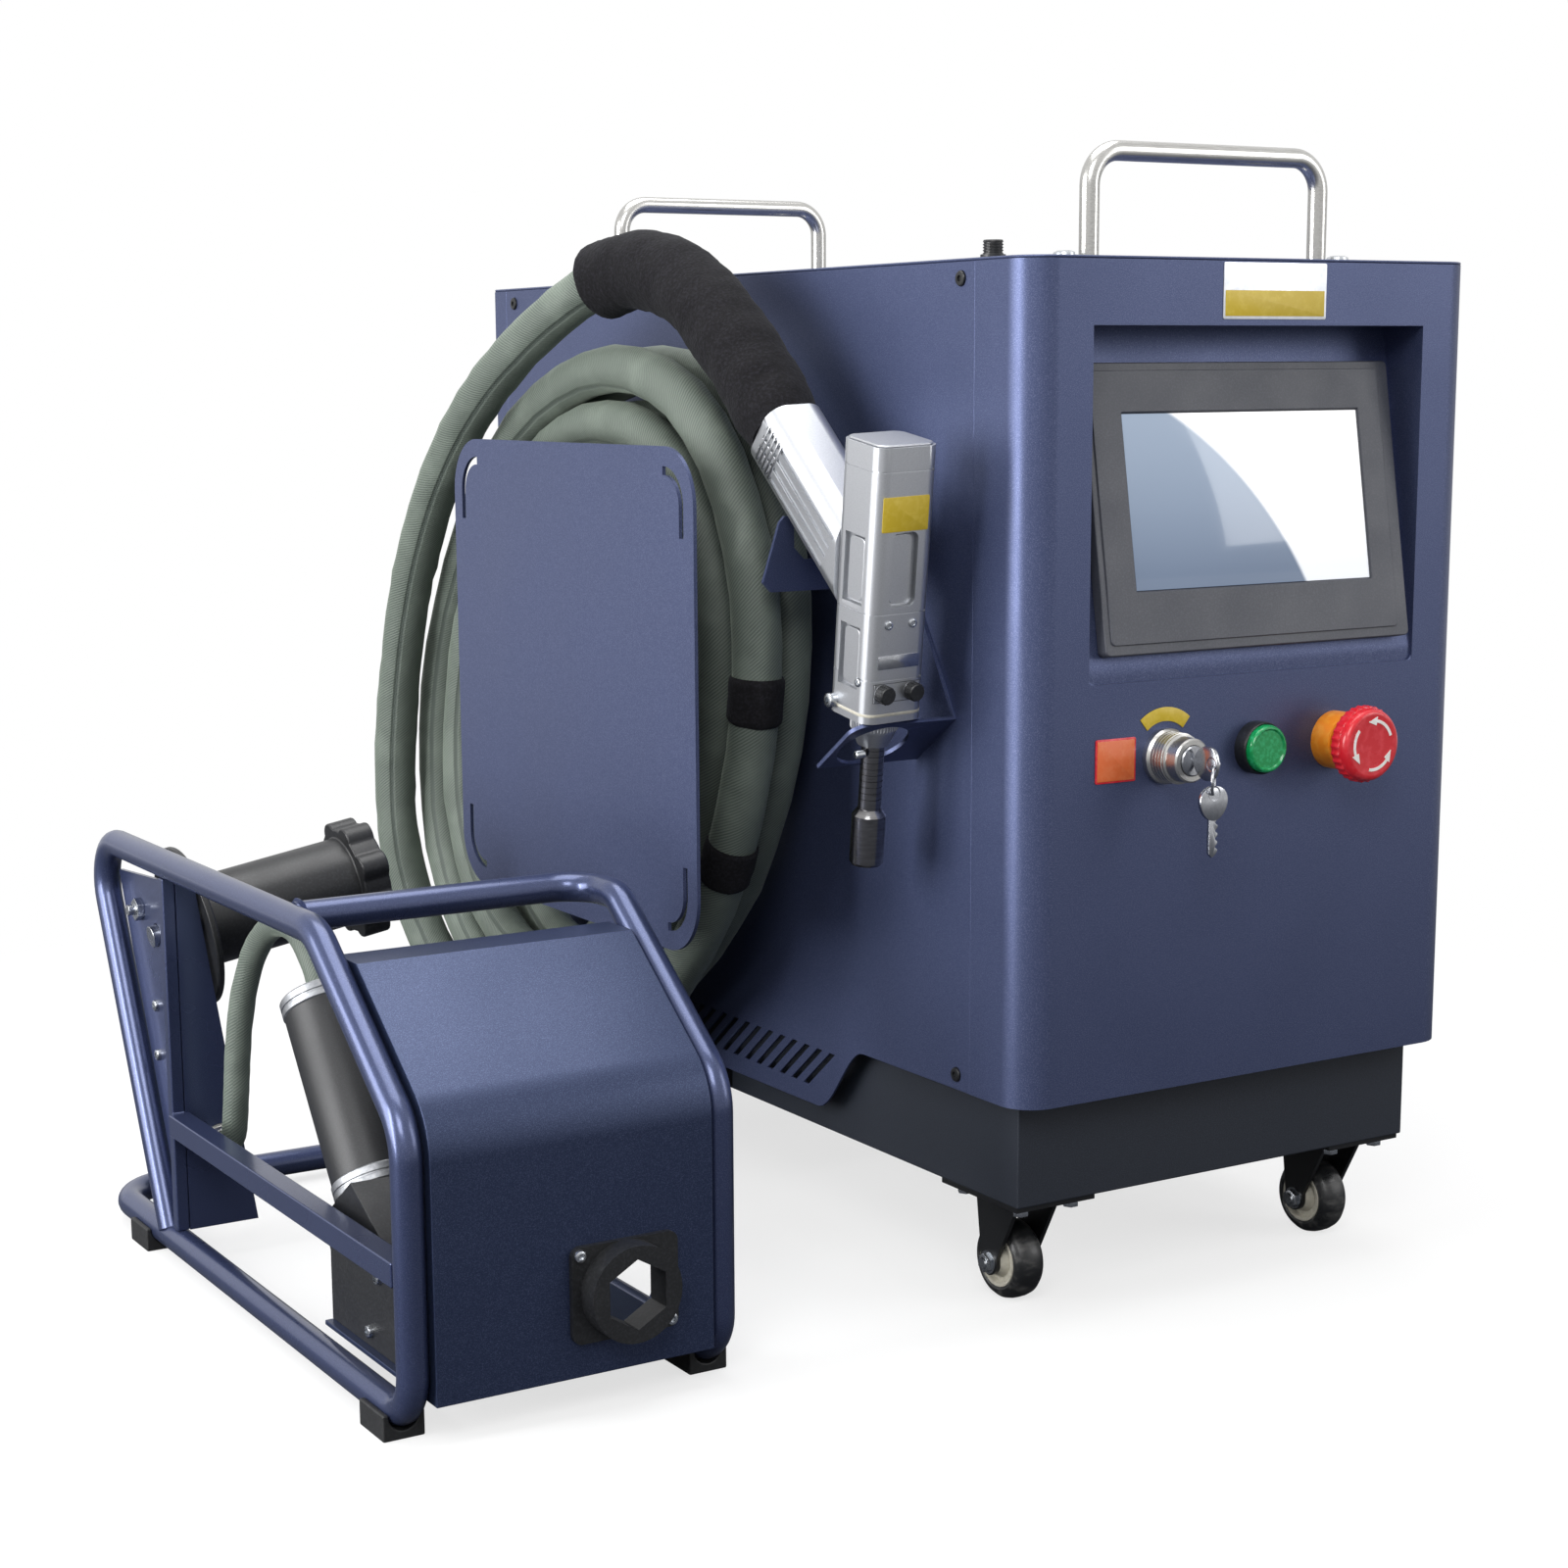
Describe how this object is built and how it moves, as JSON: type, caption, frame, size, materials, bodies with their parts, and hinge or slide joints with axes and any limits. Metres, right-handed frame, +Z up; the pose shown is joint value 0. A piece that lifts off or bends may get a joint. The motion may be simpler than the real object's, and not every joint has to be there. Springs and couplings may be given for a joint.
{
  "type": "laser welding machine",
  "caption": "Hand-held laser welder: sheet metal cabinet on casters with touch screen and controls, coiled hose and torch on its side, and a tube-framed wire feeder beside it.",
  "frame": {"origin": "middle of the set's footprint on the floor, measured without the hose", "axes": "+X to the right along the cabinet's front, +Y to its back, +Z up"},
  "size_m": [0.6112, 0.6406, 0.5908],
  "materials": {
    "blue_paint": "satin metallic powder coat",
    "frame_paint": "semi-gloss metallic powder coat",
    "plinth_paint": "fine textured powder coat",
    "black_paint": "semi-gloss black",
    "motor_paint": "matte black with bare end rings",
    "screen_plastic": "fine moulded texture",
    "screen_glass": "glossy display glass",
    "brushed_stainless": "brushed along the tube",
    "zinc_steel": "bright zinc plate",
    "turned_steel": "turned",
    "lock_metal": "satin chrome",
    "key_nickel": "nickel plate",
    "green_lens": "clear green lens",
    "red_plastic": "gloss",
    "black_plastic": "moulded",
    "hose_sleeve": "woven sleeve",
    "padded_wrap": "soft knitted wrap",
    "blasted_aluminium": "bead blasted, clear anodised",
    "cast_aluminium": "as cast",
    "board_laminate": "green solder mask",
    "wheel_tyre": "polyurethane tread on a grey hub",
    "foot_rubber": "moulded rubber"
  },
  "bodies": {
    "root": {"base_plinth": "plinth_paint", "front_cover": "blue_paint", "side_panel_left": "blue_paint", "side_panel_right": "blue_paint", "top_cover": "blue_paint", "rear_cover": "blue_paint", "screen_housing": "screen_plastic", "screen_glass": "screen_glass", "carry_handles": "brushed_stainless", "fasteners": "zinc_steel", "panel_screws": "black_plastic", "top_fittings": "black_plastic", "key_switch": "lock_metal", "button_collars": "black_plastic", "hanger_bracket": "blue_paint", "hanger_plate": "blue_paint", "torch_holder": "blue_paint", "hose_coil": "hose_sleeve", "hose_end": "hose_sleeve", "hose_wrap": "padded_wrap", "hose_outlet": "black_plastic", "torch_body": "blasted_aluminium", "torch_grip": "blasted_aluminium", "focus_collar": "blasted_aluminium", "laser_module": "cast_aluminium", "power_supply": "zinc_steel", "control_board": "board_laminate", "fan_frame": "black_plastic", "rear_fittings": "zinc_steel", "caster_plates": "black_paint", "rear_forks": "black_paint", "feeder_frame": "frame_paint", "feeder_rails": "frame_paint", "feeder_cover": "blue_paint", "spool_bracket": "frame_paint", "feeder_feet": "foot_rubber", "feed_motor": "motor_paint", "drive_block": "black_plastic", "outlet_flange": "black_plastic", "spool_axle": "zinc_steel", "feeder_wiring": "hose_sleeve"},
    "fork_left": {"caster_fork_left": "black_paint"},
    "fork_right": {"caster_fork_right": "black_paint"},
    "wheel_front_left": {"wheel_front_left": "wheel_tyre"},
    "wheel_front_right": {"wheel_front_right": "wheel_tyre"},
    "wheel_rear_left": {"wheel_rear_left": "wheel_tyre"},
    "wheel_rear_right": {"wheel_rear_right": "wheel_tyre"},
    "key": {"key": "key_nickel"},
    "key_ring": {"key_ring": "key_nickel"},
    "green_button": {"green_button": "green_lens"},
    "stop_stem": {"stop_stem": "red_plastic"},
    "stop_head": {"stop_head": "red_plastic"},
    "trigger": {"torch_trigger": "black_plastic"},
    "lens_drawer": {"lens_drawer": "blasted_aluminium"},
    "nozzle": {"nozzle_tube": "turned_steel"},
    "fan_rotor": {"fan_rotor": "black_plastic"},
    "spool": {"spool_hub": "black_plastic"},
    "feed_roller": {"feed_roller": "turned_steel"},
    "pressure_arm": {"pressure_arm": "motor_paint"},
    "idler_roller": {"idler_roller": "turned_steel"}
  },
  "joints": [
    {"name": "swivel_left", "type": "hinge", "parent": "root", "child": "fork_left", "pos_m": [0.05625, -0.22315, 0.055], "axis": [0, 0, 1], "continuous": true},
    {"name": "swivel_right", "type": "hinge", "parent": "root", "child": "fork_right", "pos_m": [0.26725, -0.22315, 0.055], "axis": [0, 0, 1], "continuous": true},
    {"name": "roll_front_left", "type": "hinge", "parent": "fork_left", "child": "wheel_front_left", "pos_m": [0.05625, -0.21715, 0.021], "axis": [1, 0, 0], "continuous": true},
    {"name": "roll_front_right", "type": "hinge", "parent": "fork_right", "child": "wheel_front_right", "pos_m": [0.26725, -0.21715, 0.021], "axis": [1, 0, 0], "continuous": true},
    {"name": "roll_rear_left", "type": "hinge", "parent": "root", "child": "wheel_rear_left", "pos_m": [0.05625, 0.24635, 0.021], "axis": [1, 0, 0], "continuous": true},
    {"name": "roll_rear_right", "type": "hinge", "parent": "root", "child": "wheel_rear_right", "pos_m": [0.26725, 0.24635, 0.021], "axis": [1, 0, 0], "continuous": true},
    {"name": "key_turn", "type": "hinge", "parent": "root", "child": "key", "pos_m": [0.1039, -0.29715, 0.29], "axis": [0, 1, 0], "range_deg": [0, 90]},
    {"name": "key_ring_swing", "type": "hinge", "parent": "key", "child": "key_ring", "pos_m": [0.1039, -0.31465, 0.2894], "axis": [1, 0, 0], "range_deg": [-12, 12]},
    {"name": "green_press", "type": "slide", "parent": "root", "child": "green_button", "axis": [0, 1, 0], "range_m": [0, 0.004], "stiffness_N_per_m": 300},
    {"name": "stop_press", "type": "slide", "parent": "root", "child": "stop_stem", "axis": [0, 1, 0], "range_m": [0, 0.005], "stiffness_N_per_m": 900},
    {"name": "stop_twist", "type": "hinge", "parent": "stop_stem", "child": "stop_head", "pos_m": [0.2159, -0.29715, 0.29], "axis": [0, 1, 0], "range_deg": [0, 35], "stiffness_Nm_per_rad": 0.05},
    {"name": "trigger_press", "type": "slide", "parent": "root", "child": "trigger", "axis": [-0.032, -0.6794, 0.733], "range_m": [0, 0.003], "stiffness_N_per_m": 400},
    {"name": "lens_drawer_slide", "type": "slide", "parent": "root", "child": "lens_drawer", "axis": [0.0072, -0.9863, -0.1649], "range_m": [0, 0.025]},
    {"name": "nozzle_slide", "type": "slide", "parent": "root", "child": "nozzle", "axis": [0.043, 0.165, -0.9853], "range_m": [0, 0.008]},
    {"name": "fan_spin", "type": "hinge", "parent": "root", "child": "fan_rotor", "pos_m": [0.16175, 0.28285, 0.42], "axis": [0, 1, 0], "continuous": true},
    {"name": "spool_spin", "type": "hinge", "parent": "root", "child": "spool", "pos_m": [-0.2746, 0.09885, 0.181], "axis": [0.9857, 0, 0.1685], "continuous": true},
    {"name": "feed_roller_spin", "type": "hinge", "parent": "root", "child": "feed_roller", "pos_m": [-0.1911, -0.16515, 0.045], "axis": [1, 0, 0], "continuous": true},
    {"name": "pressure_arm_lift", "type": "hinge", "parent": "root", "child": "pressure_arm", "pos_m": [-0.2071, -0.12915, 0.066], "axis": [-1, 0, 0], "range_deg": [0, 35]},
    {"name": "idler_spin", "type": "hinge", "parent": "pressure_arm", "child": "idler_roller", "pos_m": [-0.1911, -0.16515, 0.0718], "axis": [1, 0, 0], "continuous": true}
  ],
  "couplings": [
    {"joint": "idler_spin", "follows": "feed_roller_spin", "ratio": -1.3636}
  ]
}
